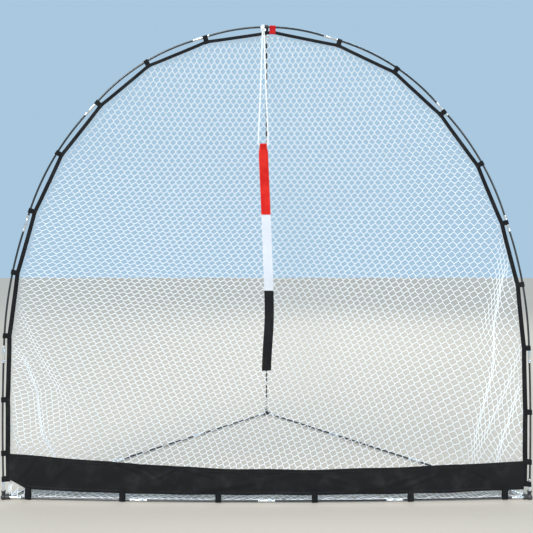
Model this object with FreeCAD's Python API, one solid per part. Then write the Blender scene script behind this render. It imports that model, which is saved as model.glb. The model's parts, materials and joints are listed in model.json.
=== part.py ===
import FreeCAD, Part
import os
from math import cos, radians, sin, sqrt

# Free-standing, knock-down practice net: an arch of springy rods on a bowed front rail, two legs on
# the ground and a bowed rear pole that meet in a rear hub. A mesh bag hangs behind the arch, and a
# striped ribbon hangs on a rope loop in its mouth as the target.
# Millimetres and degrees. +X is to the thrower's right, +Y away from the thrower, +Z up.

V = FreeCAD.Vector
X_AXIS, Y_AXIS, Z_AXIS = V(1, 0, 0), V(0, 1, 0), V(0, 0, 1)

# Rods and their metal ferrules
ROD_R = 4.0
ARCH_ROD = 538.5                         # length of each of the nine arch rods
LEAN = 1.4                               # the arch leaves its feet leaning outwards by this
SIDE_BENDS = [3.1, 15.8, 24.2, 31.3]     # how much each side rod bends, from the foot up
RAIL_RODS = 4
RAIL_BEND = 1.9                          # each rail rod, forwards
LEG_RODS = 3
POLE_RODS = 4
POLE_BEND = 9.5                          # each pole rod, backwards
FERRULE_R = 5.2
FERRULE_LENGTH = 68.0
FIT = 0.05                               # radial clearance between a rod, its ferrule and a socket
STUB = 38.0                              # straight end of every rod, which a ferrule takes
OVERCUT = 1.0                            # how far a cut passes the surface it opens

# Moulded connectors
AXIS_Z = 9.0                             # height of the rods on the ground
KNUCKLE_R = 12.0
ARM_R = 7.6
ARM_REACH = 26.0                         # from a connector's centre to the mouths of its arms
LIP_R, LIP_LENGTH = 8.6, 4.0
SOCKET_START = 14.0                      # where the metal sleeve sits, from the centre
SLEEVE_LENGTH = 60.0
ROD_START = 40.0                         # where the rod inside the sleeve begins
TEE_R = 8.0
TEE_HALF = 7.0
TEE_LIP = 2.5

# Webbing along the net's edge, and the tabs that loop round the arch
WEB_WIDTH = 16.0
WEB_THICK = 2.0
WEB_INSET = 20.0                         # from the rod's centre to the middle of the webbing
TAB_WIDTH = 20.0
TAB_FIRST = 278.0                        # from the crown's tab to the next one on each side
TAB_PITCH = 259.5
TABS_A_SIDE = 8
CROWN_TAB_X = 25.0
CROWN_TAB_WIDTH = 25.0
LOW_TABS_LEFT = [186.0, 82.0]            # heights of the two lowest tabs
LOW_TABS_RIGHT = [151.0, 62.0]
TAB_BORE = 5.4                           # the loop passes over rods and ferrules alike
TAB_CLOTH = 1.4

# Skirt and its straps
SKIRT_THICK = 1.6
SKIRT_FEET = [46.0, 34.0, 32.0, 32.0, 33.0, 41.0]          # bottom edge from left to right
SKIRT_TOPS = [187.0, 160.0, 137.0, 133.0, 142.0, 156.0]    # top edge from left to right
SKIRT_PANELS = 20
SKIRT_HALF = 1034.0
STRAP_WIDTH = 24.0
STRAP_PITCH = 385.0
STRAPS = 6
STRAP_TOP = 40.0                         # above the rail's axis
WEB_FIT = 0.15                           # room between a loop's two sides and the cloth between them

# Net bag
NET_INSET = 31.0                         # the bag's edge, inside the arch rod
NET_BACK_SET = 4.5                       # it hangs just behind the webbing
NET_DEPTH = 290.0
NET_SHOULDER = 850.0                     # arc length from the crown to the bag's upper corners
NET_FOOT = 20.0                          # the standing bag ends this far above the feet of the arch
NET_ACROSS, NET_UP = 19, 13              # points of the facets across the bag and up it
NET_PANEL, FLOOR_PANEL = 3, 4            # facets along each side of a panel, standing and on the ground
NET_FRONT = 12.0                         # the bag ends this far behind the rail
NET_FLOOR = [(0.99, 38.0), (0.95, 20.0), (0.87, 10.0), (0.75, 7.0), (0.5, 6.5), (0.25, 7.5),
             (0.08, 12.0), (0.0, 17.0)]  # the part on the ground: share of the depth, and height
NET_LAY = 250.0                          # a bag this deep lies flat, a shallower one stays off the ground
NET_FULLNESS = 2.5                       # how squarely the bag fills out towards its sides
NET_SKIN = V(0, 2.6, -2.0)               # thickness, down and away from the thrower

# Rope loop and ribbon target
ROPE_R = 3.0
TARGET_X = -13.0
TARGET_AHEAD = 14.0                      # in front of the arch's plane
HITCH_PITCH = 6.4
HITCH_SLACK = 0.6                        # room between the hitch's turns and the rod
KNOT_DROP = 16.0
KNOT_R = 7.0
STRAND_GAP = 0.3                         # between the two strands below the knot
KNOT_GAP = 0.5                           # between the knot and the loop's ends
ROPE_DROP = 464.0                        # from the knot to the hem
ROPE_SPREAD = 19.5                       # half the distance between the strands at the hem
ROPE_TURN = 5.0                          # radius of the turn into the hem
RIBBON_HALF = 19.0
RIBBON_THICK = 1.0
HEM_HALF = 13.5
HEM_BORE, HEM_R = 3.4, 4.4
PANELS = {"ribbon_red": 277.0, "ribbon_white": 306.0, "ribbon_black": 323.0}
SEAM_GAP = 1.6                           # the seam's flexible stretch between two panels
END_HEM, END_HEM_THICK = 12.0, 2.2


def turned(vector, axis, angle):
    return FreeCAD.Rotation(axis, angle).multVec(vector)


def cylinder(start, direction, length, radius):
    return Part.makeCylinder(radius, length, start, direction)


def tube(start, direction, length, outer, inner):
    return cylinder(start, direction, length, outer).cut(cylinder(start, direction, length, inner))


def swept(path, radius):
    """A round bar along a wire."""
    edge = path.OrderedEdges[0]
    ring = Part.makeCircle(radius, edge.valueAt(edge.FirstParameter), edge.tangentAt(edge.FirstParameter))
    return path.makePipeShell([Part.Wire(ring)], True, False)


def rod_line(start, heading, axis, bend, length):
    """Centre line of one rod, straight at both ends with a true arc between, and where it ends."""
    if bend == 0:
        end = start + heading * length
        return Part.Wire(Part.makeLine(start, end)), end, heading
    radius = (length - 2 * STUB) / radians(bend)
    arc_start = start + heading * STUB
    centre = arc_start + axis.cross(heading) * radius
    spoke = arc_start - centre
    arc_end = centre + turned(spoke, axis, bend)
    new_heading = turned(heading, axis, bend)
    end = arc_end + new_heading * STUB
    arc = Part.Arc(arc_start, centre + turned(spoke, axis, bend / 2), arc_end).toShape()
    return Part.Wire([Part.makeLine(start, arc_start), arc, Part.makeLine(arc_end, end)]), end, new_heading


def chain(start, heading, axis, bends, length):
    """Rods end to end: their centre lines, and the place and heading of each joint between two."""
    lines, joints = [], []
    for bend in bends:
        line, start, heading = rod_line(start, heading, axis, bend, length)
        lines.append(line)
        joints.append((start, heading))
    return lines, joints[:-1], joints[-1]


def rod_length(chord, count, bend):
    """Length of each of count equal rods whose chain spans chord."""
    side = chord * sin(radians(bend / 2)) / sin(radians(count * bend / 2))
    arc_chord = side - 2 * STUB * cos(radians(bend / 2))
    return 2 * STUB + arc_chord * radians(bend / 2) / sin(radians(bend / 2))


def bowed_chain(a, b, axis, count, bend):
    """A chain bowed between two connector centres, with its heading at each of them."""
    half = count * bend / 2
    chord = b - a
    heading = turned(V(chord).normalize(), axis, -half)
    length = rod_length(chord.Length - 2 * ROD_START * cos(radians(half)), count, bend)
    lines, joints, last = chain(a + heading * ROD_START, heading, axis, [bend] * count, length)
    return lines, joints, heading, last[1], length


def station(line, distance):
    """Point and tangent at a distance along a wire."""
    for edge in line.OrderedEdges:
        if distance <= edge.Length:
            at = edge.getParameterByLength(distance)
            return edge.valueAt(at), edge.tangentAt(at)
        distance -= edge.Length
    raise ValueError("the distance is past the wire's end")


def ferrules(joints):
    """Metal tubes, each centred on a joint."""
    return [tube(at - heading * (FERRULE_LENGTH / 2), heading, FERRULE_LENGTH, FERRULE_R, ROD_R + FIT)
            for at, heading in joints]


def sleeves(centre, headings):
    """Metal tubes that sit in a connector's sockets."""
    return [tube(centre + h * SOCKET_START, h, SLEEVE_LENGTH, FERRULE_R, ROD_R + FIT) for h in headings]


def arms(centre, headings):
    """A connector's arms, each with a thicker lip at its mouth."""
    found = [cylinder(centre, h, ARM_REACH, ARM_R) for h in headings]
    found += [cylinder(centre + h * (ARM_REACH - LIP_LENGTH), h, LIP_LENGTH, LIP_R) for h in headings]
    return found


def sockets(centre, headings):
    depth = ARM_REACH - SOCKET_START
    return [cylinder(centre + h * SOCKET_START, h, depth, FERRULE_R + FIT) for h in headings]


def ground_connector(centre, headings):
    """Moulded knuckle with sockets, cut flat where it stands on the ground."""
    ball = Part.makeSphere(KNUCKLE_R, centre)
    body = ball.multiFuse(arms(centre, headings)).cut(Part.makeCompound(sockets(centre, headings)))
    reach = 2 * ARM_REACH
    below = Part.makeBox(2 * reach, 2 * reach, reach, V(centre.x - reach, centre.y - reach, -reach))
    return body.cut(below).removeSplitter()


def extruded(outline, placement, width):
    """Outline in its own XY plane, extruded both ways along that plane's Z, then placed."""
    solid = Part.Face(outline).extrude(V(0, 0, width))
    solid.translate(V(0, 0, -width / 2))
    solid.Placement = placement.multiply(solid.Placement)
    return solid


def drop_outline(radius, reach, half_end):
    """Round at the origin and narrowing to an end at +X."""
    top, bottom = V(0, radius, 0), V(0, -radius, 0)
    arc = Part.Arc(top, V(-radius, 0, 0), bottom).toShape()
    end_low, end_high = V(reach, -half_end, 0), V(reach, half_end, 0)
    sides = [Part.makeLine(bottom, end_low), Part.makeLine(end_low, end_high), Part.makeLine(end_high, top)]
    return Part.Wire([arc] + sides)


def webbing_loop(at, inward, along, reach, width, held):
    """Webbing folded round a rod and closed on a sheet of thickness held."""
    spin = FreeCAD.Rotation(inward, along.cross(inward), along, "ZXY")
    place = FreeCAD.Placement(at, spin)
    half_gap = held / 2 + WEB_FIT
    outer = extruded(drop_outline(TAB_BORE + TAB_CLOTH, reach, half_gap + TAB_CLOTH), place, width)
    inner = extruded(drop_outline(TAB_BORE, reach + OVERCUT, half_gap), place, width + OVERCUT)
    return outer.cut(inner)


def inward_of(tangent):
    """Across the arch rod, towards the inside of the arch."""
    return Y_AXIS.cross(tangent)


# Arch: nine rods from the left foot over the crown to the right foot
crown_bend = 2 * (90 + LEAN - sum(SIDE_BENDS))
arch_bends = SIDE_BENDS + [crown_bend] + SIDE_BENDS[::-1]
foot_heading = V(-sin(radians(LEAN)), 0, cos(radians(LEAN)))
_, _, far_foot = chain(foot_heading * ROD_START, foot_heading, Y_AXIS, arch_bends, ARCH_ROD)
SPAN = far_foot[0].x + ROD_START * far_foot[1].x
left_corner = V(-SPAN / 2, 0, AXIS_Z)
right_corner = V(SPAN / 2, 0, AXIS_Z)
arch_lines, arch_joints, arch_end = chain(
    left_corner + foot_heading * ROD_START, foot_heading, Y_AXIS, arch_bends, ARCH_ROD
)
arch = Part.Wire([edge for line in arch_lines for edge in line.OrderedEdges])
crown, _ = station(arch, arch.Length / 2)

# Rail, legs and rear pole; a leg has rods of the rail's length, which sets how deep the base is
rail_lines, rail_joints, rail_left, rail_right, BASE_ROD = bowed_chain(
    left_corner, right_corner, Z_AXIS, RAIL_RODS, RAIL_BEND
)
rail = Part.Wire([edge for line in rail_lines for edge in line.OrderedEdges])
LEG_LENGTH = LEG_RODS * BASE_ROD + 2 * ROD_START
HUB_DEPTH = sqrt(LEG_LENGTH ** 2 - (SPAN / 2) ** 2)
hub = V(0, HUB_DEPTH, AXIS_Z)
pole_lines, pole_joints, pole_top, pole_foot, POLE_ROD = bowed_chain(
    crown, hub, -X_AXIS, POLE_RODS, POLE_BEND
)

nodes = {}
arch_names = [f"arch_rod_left_{n}" for n in (1, 2, 3, 4)] + ["arch_rod_crown"]
arch_names += [f"arch_rod_right_{n}" for n in (4, 3, 2, 1)]
for name, line in zip(arch_names, arch_lines):
    nodes[name] = swept(line, ROD_R)
for number, line in enumerate(rail_lines, 1):
    nodes[f"rail_rod_{number}"] = swept(line, ROD_R)
for number, line in enumerate(pole_lines, 1):
    nodes[f"pole_rod_{number}"] = swept(line, ROD_R)
leg_headings, leg_joints = {}, []
for side, corner in (("left", left_corner), ("right", right_corner)):
    heading = (hub - corner).normalize()
    leg_headings[side] = heading
    lines, joints, _ = chain(corner + heading * ROD_START, heading, Z_AXIS, [0] * LEG_RODS, BASE_ROD)
    leg_joints += joints
    for number, line in enumerate(lines, 1):
        nodes[f"leg_rod_{side}_{number}"] = swept(line, ROD_R)

nodes["arch_ferrules"] = Part.makeCompound(ferrules(arch_joints))
nodes["rail_ferrules"] = Part.makeCompound(ferrules(rail_joints))
nodes["leg_ferrules"] = Part.makeCompound(ferrules(leg_joints))
nodes["pole_ferrules"] = Part.makeCompound(ferrules(pole_joints))

# Connectors and the sleeves in their sockets
left_headings = [foot_heading, rail_left, leg_headings["left"]]
right_headings = [-arch_end[1], -rail_right, leg_headings["right"]]
hub_headings = [-leg_headings["left"], -leg_headings["right"], -pole_foot]
nodes["corner_connector_left"] = ground_connector(left_corner, left_headings)
nodes["corner_connector_right"] = ground_connector(right_corner, right_headings)
nodes["rear_hub"] = ground_connector(hub, hub_headings)
nodes["corner_sleeves_left"] = Part.makeCompound(sleeves(left_corner, left_headings))
nodes["corner_sleeves_right"] = Part.makeCompound(sleeves(right_corner, right_headings))
nodes["hub_sleeves"] = Part.makeCompound(sleeves(hub, hub_headings))
nodes["crown_sleeve"] = sleeves(crown, [pole_top])[0]

tee_start = crown - X_AXIS * TEE_HALF
tee_lips = [
    cylinder(crown + X_AXIS * x, X_AXIS, TEE_LIP, LIP_R) for x in (-TEE_HALF, TEE_HALF - TEE_LIP)
]
tee = cylinder(tee_start, X_AXIS, 2 * TEE_HALF, TEE_R).multiFuse(arms(crown, [pole_top]) + tee_lips)
tee_bore = cylinder(tee_start - X_AXIS * OVERCUT, X_AXIS, 2 * (TEE_HALF + OVERCUT), ROD_R + 2 * FIT)
nodes["crown_tee"] = tee.cut(Part.makeCompound(sockets(crown, [pole_top]) + [tee_bore])).removeSplitter()

# Webbing along the net's edge, straight from tab to tab, in a left and a right length
middle = arch.Length / 2
crown_tab = middle + CROWN_TAB_X
steps = [TAB_FIRST + TAB_PITCH * n for n in range(TABS_A_SIDE)]
left_tabs = [crown_tab - step for step in steps] + [z - AXIS_Z - ROD_START for z in LOW_TABS_LEFT]
right_tabs = [crown_tab + step for step in steps]
right_tabs += [arch.Length - (z - AXIS_Z - ROD_START) for z in LOW_TABS_RIGHT]


def edge_webbing(distances):
    """Webbing whose corners lie at the tabs, in the arch's plane."""
    rows = []
    for distance in distances:
        at, tangent = station(arch, distance)
        inward = inward_of(tangent)
        rows.append((at + inward * (WEB_INSET - WEB_WIDTH / 2), at + inward * (WEB_INSET + WEB_WIDTH / 2)))
    outline = [outer for outer, _ in rows] + [inner for _, inner in rows[::-1]]
    band = Part.Face(Part.makePolygon(outline + outline[:1])).extrude(Y_AXIS * WEB_THICK)
    band.translate(Y_AXIS * (-WEB_THICK / 2))
    return band


def arch_tab(distance, width):
    at, tangent = station(arch, distance)
    reach = WEB_INSET + WEB_WIDTH / 2
    return webbing_loop(at, inward_of(tangent), tangent, reach, width, WEB_THICK)


nodes["net_webbing_left"] = edge_webbing([crown_tab] + left_tabs)
nodes["net_webbing_right"] = edge_webbing([crown_tab] + right_tabs)
nodes["arch_tabs_left"] = Part.makeCompound([arch_tab(d, TAB_WIDTH) for d in left_tabs])
nodes["arch_tabs_right"] = Part.makeCompound([arch_tab(d, TAB_WIDTH) for d in right_tabs])
nodes["crown_tab"] = arch_tab(crown_tab, CROWN_TAB_WIDTH)


rail_bow = station(rail, rail.Length / 2)[0].y


def rail_y(x):
    """How far forward the rail is at x, as the parabola through its ends and middle."""
    return rail_bow * (1 - (2 * x / SPAN) ** 2)


def rail_strap(x):
    """A strap's loop, square to the rail."""
    along = V(1, -8 * rail_bow * x / SPAN ** 2, 0).normalize()
    return webbing_loop(V(x, rail_y(x), AXIS_Z), Z_AXIS, along, STRAP_TOP, STRAP_WIDTH, SKIRT_THICK)


strap_xs = [STRAP_PITCH * (n - (STRAPS - 1) / 2) for n in range(STRAPS)]
nodes["rail_straps"] = Part.makeCompound([rail_strap(x) for x in strap_xs])


# Net bag: a square grid pulled over the arch's opening, bulging backwards and lying on the ground
def arch_inside(distance):
    at, tangent = station(arch, middle + distance)
    return at + inward_of(tangent) * NET_INSET


def net_point(u, v):
    """u from left to right and v from the bag's foot to its top, both 0 to 1."""
    foot = middle - NET_FOOT
    left = arch_inside(-foot + v * (foot - NET_SHOULDER))
    right = arch_inside(foot - v * (foot - NET_SHOULDER))
    top = arch_inside(NET_SHOULDER * (2 * u - 1))
    low_left, low_right = arch_inside(-foot), arch_inside(foot)
    bottom = low_left * (1 - u) + low_right * u
    top_left, top_right = arch_inside(-NET_SHOULDER), arch_inside(NET_SHOULDER)
    corners = (low_left * (1 - u) + low_right * u) * (1 - v) + (top_left * (1 - u) + top_right * u) * v
    at = left * (1 - u) + right * u + bottom * (1 - v) + top * v - corners
    deep = NET_DEPTH * (1 - abs(2 * u - 1) ** NET_FULLNESS) * (1 - v ** 2)
    return V(at.x, NET_BACK_SET + deep, at.z)


def draped(rows, skin):
    """A thin cloth solid of flat facets over rows of points, as thick as the vector skin."""
    def flat(*corners):
        return Part.Face(Part.makePolygon(list(corners) + [corners[0]]))

    faces = []
    for upper, lower in zip(rows, rows[1:]):
        for a, b, c, d in zip(upper, upper[1:], lower[1:], lower):
            faces += [flat(a, b, c), flat(a, c, d)]
    faces += [face.translated(skin) for face in faces]
    left, right = [row[0] for row in rows], [row[-1] for row in rows]
    for edge in (rows[0], rows[-1], left, right):
        faces += [flat(a, b, b + skin, a + skin) for a, b in zip(edge, edge[1:])]
    shell = Part.Shell(faces)
    shell.sewShape()
    solid = Part.Solid(shell)
    return solid if solid.Volume > 0 else Part.Solid(shell.reversed())


def in_panels(rows, up):
    """The net as panels that meet edge to edge, so that each one is nearly flat."""
    found = []
    for row in range(0, len(rows) - 1, up):
        for column in range(0, NET_ACROSS - 1, NET_PANEL):
            patch = [points[column:column + NET_PANEL + 1] for points in rows[row:row + up + 1]]
            found.append(draped(patch, NET_SKIN))
    return Part.makeCompound(found)


# Skirt: a standing strip that follows the bowed rail, tied to it by straps, in flat panels
def edge_height(heights, x):
    """Height of an edge at x, straight between the heights given at even steps along the skirt."""
    place = (x + SKIRT_HALF) / (2 * SKIRT_HALF) * (len(heights) - 1)
    step = min(int(place), len(heights) - 2)
    return heights[step] + (heights[step + 1] - heights[step]) * (place - step)


skirt_posts = []
for number in range(SKIRT_PANELS + 1):
    x = SKIRT_HALF * (2 * number / SKIRT_PANELS - 1)
    y = rail_y(x) - SKIRT_THICK / 2
    skirt_posts.append((V(x, y, edge_height(SKIRT_TOPS, x)), V(x, y, edge_height(SKIRT_FEET, x))))
panels = [draped(list(zip(*pair)), Y_AXIS * SKIRT_THICK) for pair in zip(skirt_posts, skirt_posts[1:])]
nodes["skirt"] = Part.makeCompound(panels)

us = [n / (NET_ACROSS - 1) for n in range(NET_ACROSS)]
standing_rows = [[net_point(u, v / (NET_UP - 1)) for u in us] for v in range(NET_UP)[::-1]]
foot_row = standing_rows[-1]
floor_rows = [foot_row]
for share, height in NET_FLOOR:
    row = []
    for at in foot_row:
        front = rail_y(at.x) + NET_FRONT
        depth = at.y - front
        lies = min(1, max(0, depth / NET_LAY))
        hangs_at = at.z * share + NET_FLOOR[-1][1] * (1 - share)
        row.append(V(at.x, front + depth * share, height * lies + hangs_at * (1 - lies)))
    floor_rows.append(row)
nodes["net_standing"] = in_panels(standing_rows, NET_PANEL)
nodes["net_on_ground"] = in_panels(floor_rows, FLOOR_PANEL)

# Rope: a hitch round the crown rod, a knot that hangs from it and a long loop through the ribbon's hem
target_y = -TARGET_AHEAD
knot = V(TARGET_X, target_y, crown.z - KNOT_DROP)
hitch_turns = []
for side in (-0.5, 0.5):
    at = V(TARGET_X - HITCH_PITCH / 2 + side * HITCH_PITCH, 0, crown.z)
    hitch_turns.append(Part.makeTorus(ROD_R + ROPE_R + HITCH_SLACK, ROPE_R, at, X_AXIS))
nodes["rope_hitch"] = Part.makeCompound(hitch_turns)
nodes["rope_knot"] = Part.makeSphere(KNOT_R, knot)

hem = V(TARGET_X, target_y, knot.z - ROPE_DROP)


def rope_loop():
    """Down one strand, round through the hem and up the other."""
    halves = []
    for side in (-1, 1):
        top = knot + V(side * (ROPE_R + STRAND_GAP / 2), 0, -KNOT_R - KNOT_GAP)
        turn_top = hem + V(side * ROPE_SPREAD, 0, ROPE_TURN)
        turn_low = hem + V(side * (ROPE_SPREAD - ROPE_TURN), 0, 0)
        bend = turn_low + V(side * ROPE_TURN * sin(radians(45)), 0, ROPE_TURN * (1 - cos(radians(45))))
        halves.append((top, turn_top, bend, turn_low))
    (a, b, c, d), (h, g, f, e) = halves
    lines = [Part.makeLine(a, b), Part.Arc(b, c, d).toShape(), Part.makeLine(d, e)]
    lines += [Part.Arc(e, f, g).toShape(), Part.makeLine(g, h)]
    return lines


nodes["target_rope"] = swept(Part.Wire(rope_loop()), ROPE_R)


def ribbon_panel(top, low):
    """A flat length of ribbon."""
    corner = V(TARGET_X - RIBBON_HALF, target_y - RIBBON_THICK / 2, low)
    return Part.makeBox(2 * RIBBON_HALF, RIBBON_THICK, top - low, corner)


# Ribbon: three panels sewn end to end; the top one is hemmed round the rope, the last one is doubled over
seams = []
top = hem.z - HEM_BORE
for name, height in PANELS.items():
    low = top - height + SEAM_GAP
    nodes[name] = ribbon_panel(top, low)
    seams.append(V(TARGET_X, target_y, low - SEAM_GAP / 2))
    top = low - SEAM_GAP
hem_tube = tube(hem - X_AXIS * HEM_HALF, X_AXIS, 2 * HEM_HALF, HEM_R, HEM_BORE)
nodes["ribbon_red"] = nodes["ribbon_red"].fuse(hem_tube).removeSplitter()
doubled = Part.makeBox(
    2 * RIBBON_HALF, END_HEM_THICK, END_HEM, V(TARGET_X - RIBBON_HALF, target_y - END_HEM_THICK / 2, low)
)
nodes["ribbon_black"] = nodes["ribbon_black"].fuse(doubled).removeSplitter()

# origin at the middle of the footprint, on the ground
whole = Part.makeCompound(list(nodes.values())).optimalBoundingBox()
to_origin = V(-whole.Center.x, -whole.Center.y, -whole.ZMin)
os.makedirs("parts", exist_ok=True)
for name, shape in nodes.items():
    shape.translate(to_origin)
    shape.exportStep(f"parts/{name}.step")
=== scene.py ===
import json
from math import cos, pi, radians, sin, sqrt

import bpy
import numpy as np
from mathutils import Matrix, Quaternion, Vector


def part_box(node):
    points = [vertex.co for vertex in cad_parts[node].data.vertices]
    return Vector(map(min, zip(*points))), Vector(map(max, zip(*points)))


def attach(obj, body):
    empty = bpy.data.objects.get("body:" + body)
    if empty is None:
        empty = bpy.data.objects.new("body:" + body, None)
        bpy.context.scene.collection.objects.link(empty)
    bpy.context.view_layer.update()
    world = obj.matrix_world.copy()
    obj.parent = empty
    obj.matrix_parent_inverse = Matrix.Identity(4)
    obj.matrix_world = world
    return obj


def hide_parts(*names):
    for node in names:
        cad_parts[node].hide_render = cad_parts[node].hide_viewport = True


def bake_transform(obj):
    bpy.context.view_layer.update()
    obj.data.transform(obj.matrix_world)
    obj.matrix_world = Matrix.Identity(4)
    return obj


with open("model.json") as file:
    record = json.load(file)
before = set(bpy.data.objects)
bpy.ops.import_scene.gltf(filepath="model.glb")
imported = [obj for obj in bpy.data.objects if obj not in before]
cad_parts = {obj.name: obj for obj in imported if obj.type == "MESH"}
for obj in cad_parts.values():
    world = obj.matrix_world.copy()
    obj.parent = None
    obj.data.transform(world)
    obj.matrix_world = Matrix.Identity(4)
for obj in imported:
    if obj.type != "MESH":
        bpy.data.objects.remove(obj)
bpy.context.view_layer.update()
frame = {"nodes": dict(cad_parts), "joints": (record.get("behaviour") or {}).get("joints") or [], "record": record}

# A free-standing practice net: a sprung arch on a bowed rail, two legs and a rear pole, a white mesh
# bag tied inside the arch, a black skirt on the rail and a striped ribbon hung in the bag's mouth.
# Metres. +X is to the thrower's right, +Y away from the thrower, +Z up.


# ---------------------------------------------------------------------------------------------------
# Floor, light and camera. The net stands on a plain pale floor under large soft lamps, and the camera
# looks level from where a thrower stands.
nodes = frame["nodes"]
arch_low, arch_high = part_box("arch_rod_crown")
FRONT = (arch_low.y + arch_high.y) / 2
STAND_OFF = 2.505
EYE_HEIGHT = 1.05

floor_mesh = bpy.data.meshes.new("floor")
FLOOR_HALF = 14.0
corners = [(x * FLOOR_HALF, y * FLOOR_HALF, 0) for x, y in ((-1, -1), (1, -1), (1, 1), (-1, 1))]
floor_mesh.from_pydata(corners, [], [(0, 1, 2, 3)])
floor = bpy.data.objects.new("floor", floor_mesh)
bpy.context.scene.collection.objects.link(floor)


def new_material(name, base, roughness, metallic=0.0):
    """A material with its Principled shader, ready for nodes, and the shader itself."""
    made = bpy.data.materials.new(name)
    made.use_nodes = True
    shader = made.node_tree.nodes["Principled BSDF"]
    shader.inputs["Base Color"].default_value = (*base, 1)
    shader.inputs["Roughness"].default_value = roughness
    shader.inputs["Metallic"].default_value = metallic
    return made, shader


def add(tree, kind, **settings):
    """A node of that kind, with its properties and unlinked sockets set."""
    node = tree.nodes.new(kind)
    for key, value in settings.items():
        if hasattr(node, key):
            setattr(node, key, value)
        else:
            node.inputs[key.replace("_", " ")].default_value = value
    return node


def join(source, out, target, into):
    """A link from a node's named output to another node's named input."""
    source.id_data.links.new(source.outputs[out], target.inputs[into])


def mixed(tree, factor, low, high):
    """A colour that goes from low to high; each is a plain colour or another node's output."""
    node = add(tree, "ShaderNodeMix", data_type="RGBA")
    tree.links.new(factor, node.inputs["Factor"])
    for key, colour in (("A", low), ("B", high)):
        if isinstance(colour, tuple):
            node.inputs[key].default_value = (*colour, 1)
        else:
            tree.links.new(colour, node.inputs[key])
    return node.outputs["Result"]


floor_paint, floor_shader = new_material("floor_paint", (0.50, 0.475, 0.43), 0.85)
floor_tree = floor_paint.node_tree
grit = add(floor_tree, "ShaderNodeTexNoise", Scale=9.0, Detail=4.0)
tint = mixed(floor_tree, grit.outputs["Fac"], (0.44, 0.385, 0.32), (0.48, 0.425, 0.36))
floor_tree.links.new(tint, floor_shader.inputs["Base Color"])
floor_mesh.materials.append(floor_paint)

world = bpy.data.worlds.new("studio")
world.use_nodes = True
world.node_tree.nodes["Background"].inputs["Color"].default_value = (0.40, 0.58, 0.74, 1)
world.node_tree.nodes["Background"].inputs["Strength"].default_value = 1.0
bpy.context.scene.world = world


def place_light(light, at, turn):
    """The light as an object in the scene."""
    holder = bpy.data.objects.new(light.name, light)
    holder.location = at
    holder.rotation_euler = turn
    bpy.context.scene.collection.objects.link(holder)


def soft_lamp(name, at, aim_height, size, watts):
    """A round area lamp that shines at the net's middle, at a height."""
    lamp = bpy.data.lights.new(name, "AREA")
    lamp.shape = "DISK"
    lamp.size = size
    lamp.energy = watts
    away = Vector((0, 0, aim_height)) - Vector(at)
    place_light(lamp, at, away.to_track_quat("-Z", "Y").to_euler())


soft_lamp("key_lamp", (-3.0, -4.6, 4.4), 0.9, 2.5, 150)
soft_lamp("fill_lamp", (3.8, -3.8, 2.6), 0.8, 3.0, 80)
soft_lamp("back_lamp", (1.5, 4.4, 4.0), 0.9, 3.0, 110)
overhead = bpy.data.lights.new("overhead", "SUN")
overhead.energy = 2.5
overhead.angle = radians(40)
place_light(overhead, (0, 0, 0), (radians(38), radians(-22), 0))

eye = bpy.data.cameras.new("camera")
eye.lens = 41.8
eye.sensor_width = 36.0
eye.shift_y = -0.05
camera = bpy.data.objects.new("camera", eye)
camera.location = (0, FRONT - STAND_OFF, EYE_HEIGHT)
camera.rotation_euler = (pi / 2, 0, 0)
bpy.context.scene.collection.objects.link(camera)
bpy.context.scene.camera = camera
bpy.context.scene.view_settings.view_transform = "Standard"


# ---------------------------------------------------------------------------------------------------
# Rods. Solid pultruded fibreglass, 8 mm, nine in the arch, four in the rail and in the rear pole and
# three in each leg. The resin skin is glossy black with faint drawing lines and rubbed spots.
ROD_RADIUS = 0.004
ROD_START = 0.040
AXIS_HEIGHT = 0.009


def group(name, inputs, outputs):
    """An empty shader node group with named inputs, each with its usual value, and named outputs."""
    tree = bpy.data.node_groups.new(name, "ShaderNodeTree")
    for key, kind, value in inputs:
        socket = tree.interface.new_socket(key, in_out="INPUT", socket_type=kind)
        if value is not None:
            socket.default_value = value
    for key, kind in outputs:
        tree.interface.new_socket(key, in_out="OUTPUT", socket_type=kind)
    return tree, tree.nodes.new("NodeGroupInput"), tree.nodes.new("NodeGroupOutput")


def use(material, tree, **values):
    """The group placed in a material, with that material's own values."""
    node = material.node_tree.nodes.new("ShaderNodeGroup")
    node.node_tree = tree
    for key, value in values.items():
        node.inputs[key.replace("_", " ")].default_value = value
    return node


def calculated(tree, operation, *values):
    """The result of a math node whose inputs are numbers or other nodes' outputs."""
    node = add(tree, "ShaderNodeMath", operation=operation)
    for socket, value in zip(node.inputs, values):
        if isinstance(value, bpy.types.NodeSocket):
            tree.links.new(value, socket)
        else:
            socket.default_value = value
    return node.outputs["Value"]


def bump(material, height, distance, strength=1.0):
    """The height joined to the shader's normal."""
    tree = material.node_tree
    node = add(tree, "ShaderNodeBump", Strength=strength, Distance=distance)
    tree.links.new(height, node.inputs["Height"])
    tree.links.new(node.outputs["Normal"], tree.nodes["Principled BSDF"].inputs["Normal"])
    return node


# handling wear: blotches where a surface is rubbed or dusty, and fine scratches in its height
wear, wear_in, wear_out = group(
    "handling_wear",
    [("Blotch Scale", "NodeSocketFloat", 14.0), ("Amount", "NodeSocketFloat", 0.5),
     ("Scratch Scale", "NodeSocketFloat", 700.0)],
    [("Mask", "NodeSocketFloat"), ("Height", "NodeSocketFloat")])
place = add(wear, "ShaderNodeTexCoord")
blotch = add(wear, "ShaderNodeTexNoise", Detail=5.0, Roughness=0.62)
spread = add(wear, "ShaderNodeMapRange", From_Min=0.48, From_Max=0.72)
fine = add(wear, "ShaderNodeTexNoise", Detail=3.0, Roughness=0.7)
join(place, "Object", blotch, "Vector")
join(wear_in, "Blotch Scale", blotch, "Scale")
join(blotch, "Fac", spread, "Value")
share = calculated(wear, "MULTIPLY", spread.outputs["Result"], wear_in.outputs["Amount"])
wear.links.new(share, wear_out.inputs["Mask"])
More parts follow.
